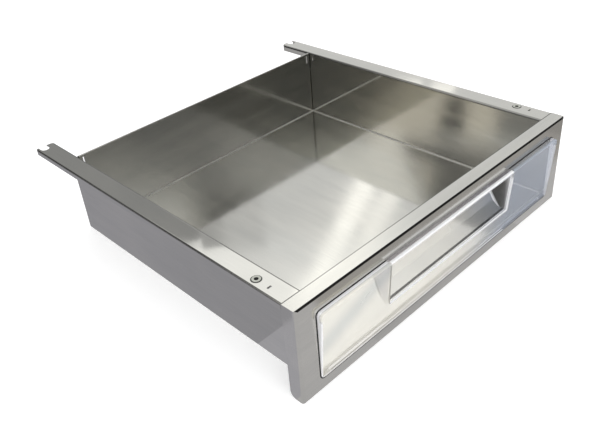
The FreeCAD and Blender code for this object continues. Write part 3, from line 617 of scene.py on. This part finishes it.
def make_world():
    """White backdrop for what the camera, metal and plastic see, and slightly less light from it."""
    world = bpy.data.worlds.new("studio")
    world.use_nodes = True
    studio = Nodes(world.node_tree)
    background = studio.tree.nodes["Background"]
    background.inputs["Color"].default_value = (*WHITE, 1.0)
    level = studio.add("ShaderNodeMapRange")
    level.inputs["To Min"].default_value = WORLD_LIGHT
    level.inputs["To Max"].default_value = 1.0
    studio.link(studio.seen_by("Camera", "Glossy", "Transmission"), level.inputs["Value"])
    studio.link(level.outputs["Result"], background.inputs["Strength"])
    bpy.context.scene.world = world


def make_softbox(name, azimuth, elevation, distance, width, height, radiance, colour, mirrored):
    """A soft lamp aimed at the drawer. Where it isn't mirrored, the steel doesn't show it."""
    lamp = bpy.data.lights.new(name, "AREA")
    lamp.shape = "RECTANGLE"
    lamp.size = width
    lamp.size_y = height
    lamp.energy = radiance * math.pi * width * height
    lamp.color = colour
    box = bpy.data.objects.new(name, lamp)
    bpy.context.scene.collection.objects.link(box)
    centre = Vector(DRAWER_MIDDLE)
    box.matrix_world = aimed(centre + direction(azimuth, elevation) * distance, centre)
    box.visible_camera = False
    box.visible_glossy = mirrored


def make_card(name, corners, radiance, tint):
    """A studio card that only shows in reflections."""
    card = Recipe(name + "_card")
    card.tree.nodes.remove(card.shader)
    glow = card.add("ShaderNodeEmission")
    fibre = card.noise(FIBRE_GRAINS)
    low = (*(radiance * (1 - FIBRE_SHARE) * part for part in tint), 1.0)
    high = (*(radiance * (1 + FIBRE_SHARE) * part for part in tint), 1.0)
    card.link(card.mix(fibre, low, high), glow.inputs["Color"])
    card.link(glow.outputs[0], card.output.inputs["Surface"])
    mesh = face_mesh(name, corners)
    mesh.materials.append(card.material)
    piece = bpy.data.objects.new(name, mesh)
    bpy.context.scene.collection.objects.link(piece)
    piece.visible_camera = False
    piece.visible_diffuse = False
    piece.visible_shadow = False
    piece.visible_transmission = False


def band(low_azimuth, high_azimuth, low_elevation, high_elevation):
    """The corners of a card that fills a range of azimuths and elevations."""
    return ((low_azimuth, low_elevation), (high_azimuth, low_elevation),
            (high_azimuth, high_elevation), (low_azimuth, high_elevation))


# Cards round the drawer: name, corners as directions from the tray, radiance, tint, distance.
ROOM_CARDS = (
    ("left_rear_low", ((-62, 4), (-40, 4), (-40, 28), (-48.3, 28)), 0.09, WHITE, FAR),
    ("left_rear_high", band(-40, -5, 4, 54), 0.09, WHITE, FAR),
    ("left_tan", ((-68, 4), (-62, 4), (-48.3, 28), (-55.2, 28), (-55.2, 12)), 0.95, TAN, FAR),
    ("left_line", band(-58.0, -54.9, 4, 28), 0.04, WHITE, FAR),
    ("left_outer_tan", band(-61.0, -58.0, 4, 28), 0.95, TAN, FAR),
    ("left_ceiling", ((-51.5, 28), (-40, 28), (-40, 44), (-60.5, 44)), 1.25, WHITE, FAR),
    ("left_upper_dark", ((-98, 28), (-51.5, 28), (-60.5, 44), (-98, 44)), 0.16, WHITE, FAR),
    ("left_patch", ((-60, 29), (-58, 29), (-57, 30.6), (-53.2, 30.6), (-54.6, 32.8), (-58.3, 31.9)),
     1.0, TAN, NEARER),
    ("left_far", band(-98, -61.0, 4, 28), 0.28, WHITE, FAR),
    ("room_left", band(-118, -98, 4, 29), 0.12, WHITE, FAR),
    ("room_tan", ((-118, 4), (-118, 29), (-131.5, 29), (-123.5, 20), (-121.5, 4)), 1.0, TAN, FAR),
    ("room_left_dark", ((-121.5, 4), (-123.5, 20), (-131.5, 29), (-140, 29), (-140, 4)),
     0.12, WHITE, FAR),
    ("room_behind", band(-180, -140, 4, 29), 0.15, WHITE, FAR),
    ("rear_grey", band(-4, 31, 4, 36), 0.34, WHITE, FAR),
    ("rear_step", band(31, 33.5, 4, 37), 0.46, WHITE, FAR),
    ("rear_pale", band(33.5, 38, 4, 37), 0.66, WHITE, FAR),
    ("rear_right", band(38, 72, 4, 36), 0.80, WHITE, FAR),
    ("front_low", band(92, 144, 2, 26), 0.10, WHITE, FAR),
    ("front_middle", band(92, 144, 26, 31), 0.52, WHITE, FAR),
    ("front_high", band(80, 148, 31, 64), 0.05, WHITE, FAR),
    ("front_grey", band(144, 154, 2, 26), 0.17, WHITE, FAR),
    ("front_grey_high", band(144, 154, 26, 31), 0.28, WHITE, FAR),
    ("front_pale", band(154, 180, 2, 26.5), 0.20, WHITE, FAR),
    ("front_pale_high", band(154, 180, 26.5, 31), 0.42, WHITE, FAR),
    ("bright_strip", ((52.4, 24), (54.8, 24), (41.4, 44), (39.0, 44)), 1.65, WARM, NEAREST),
    ("second_strip", ((55.8, 24), (58.0, 24), (44.6, 44), (42.6, 44)), 1.40, WARM, NEAREST),
)

# Cards on the ground round the drawer: name, lowest X and Y, highest X and Y, radiance, tint.
GROUND_CARDS = (
    ("left_ground", -4.0, -0.15, -0.224, 4.0, 0.38, COOL),
    ("corner_ground", -0.7, -0.24, -0.224, -0.15, 0.49, COOL),
    ("post_ground", -4.0, -4.0, -0.13, -0.24, 0.57, FAINT),
    ("front_ground", -0.13, -0.30, 0.16, -0.24, 0.52, FAINT),
    ("front_far_ground", -0.13, -4.0, 0.16, -0.30, 0.42, BROWN),
    ("right_ground", 0.16, -0.30, 4.0, -0.24, 0.60, FAINT),
    ("right_far_ground", 0.16, -4.0, 0.42, -0.30, 0.42, BROWN),
    ("right_end_ground", 0.42, -4.0, 4.0, -0.30, 0.34, BROWN),
    ("right_side_ground", 0.224, -0.24, 4.0, 4.0, 0.42, FAINT),
    ("rear_ground", -0.224, 0.194, 0.224, 4.0, 0.46, FAINT),
)


def make_cards():
    """The dark, grey and white cards round the drawer that shape what the steel shows."""
    centre = Vector(TRAY_MIDDLE)
    for name, corners, radiance, tint, distance in ROOM_CARDS:
        places = [centre + direction(*corner) * distance for corner in corners]
        make_card(name, places, radiance, tint)
    height = cad_box[0].z - GROUND_CARD_GAP
    for name, low_x, low_y, high_x, high_y, radiance, tint in GROUND_CARDS:
        make_card(name, level_corners(low_x, low_y, high_x, high_y, height), radiance, tint)


def make_camera():
    """The photograph's view."""
    right = Vector(VIEW_RIGHT)
    up = -Vector(VIEW_DOWN)
    back = right.cross(up)
    lens = bpy.data.cameras.new("camera")
    lens.sensor_width = SENSOR_WIDTH
    lens.lens = FOCAL_PIXELS / PICTURE_WIDTH * SENSOR_WIDTH
    lens.shift_x = (PICTURE_WIDTH / 2 - PRINCIPAL_POINT[0]) / PICTURE_WIDTH
    lens.shift_y = (PRINCIPAL_POINT[1] - PICTURE_HEIGHT / 2) / PICTURE_WIDTH
    lens.clip_start = NEAREST_SEEN
    camera = bpy.data.objects.new("camera", lens)
    bpy.context.scene.collection.objects.link(camera)
    axes = Matrix((right, up, back)).transposed()
    camera.matrix_world = Matrix.Translation(Vector(CAMERA_PLACE)) @ axes.to_4x4()
    bpy.context.scene.camera = camera


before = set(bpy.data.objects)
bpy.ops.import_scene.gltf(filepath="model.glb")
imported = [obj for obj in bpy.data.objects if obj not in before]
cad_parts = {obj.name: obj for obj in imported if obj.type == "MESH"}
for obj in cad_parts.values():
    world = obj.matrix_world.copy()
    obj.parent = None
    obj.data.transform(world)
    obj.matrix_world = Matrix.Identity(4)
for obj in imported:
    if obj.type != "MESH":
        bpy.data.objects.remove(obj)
cad_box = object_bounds()

make_camera()
finish_nodes()
make_world()
make_floor()
make_softbox("key_softbox", azimuth=42, elevation=53, distance=1.9, width=1.0, height=0.75,
             radiance=0.22, colour=LAMP_WARM, mirrored=True)
make_softbox("front_fill", azimuth=-160, elevation=25, distance=2.2, width=1.2, height=0.8,
             radiance=3.0, colour=WHITE, mirrored=False)
make_cards()

bpy.context.scene.view_settings.view_transform = "Standard"
